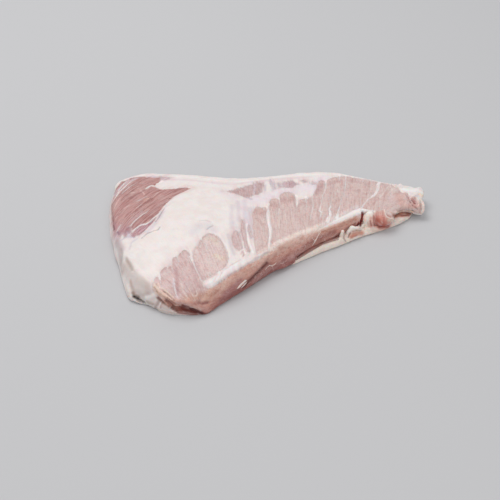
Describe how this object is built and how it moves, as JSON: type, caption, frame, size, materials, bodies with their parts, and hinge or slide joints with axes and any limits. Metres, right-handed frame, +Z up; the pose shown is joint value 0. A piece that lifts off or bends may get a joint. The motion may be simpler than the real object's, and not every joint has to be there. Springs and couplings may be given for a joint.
{
  "type": "pork secreto",
  "caption": "Raw pork secreto: a flat, fan-shaped cut of pink lean and white fat, cut square along its front edge and thin and ragged at its tip, lying flat.",
  "frame": {"origin": "middle of the footprint, on the surface that the meat lies on", "axes": "+X from the blunt end to the thin tip, -Y towards the cut front edge, +Z up"},
  "size_m": [0.2408, 0.162, 0.021],
  "materials": {
    "muscle": "raw lean pork with a pale fat cap, moist satin",
    "under_fat": "raw white pork fat, moist satin"
  },
  "bodies": {
    "root": {"muscle": "muscle", "under_fat": "under_fat"}
  },
  "joints": []
}
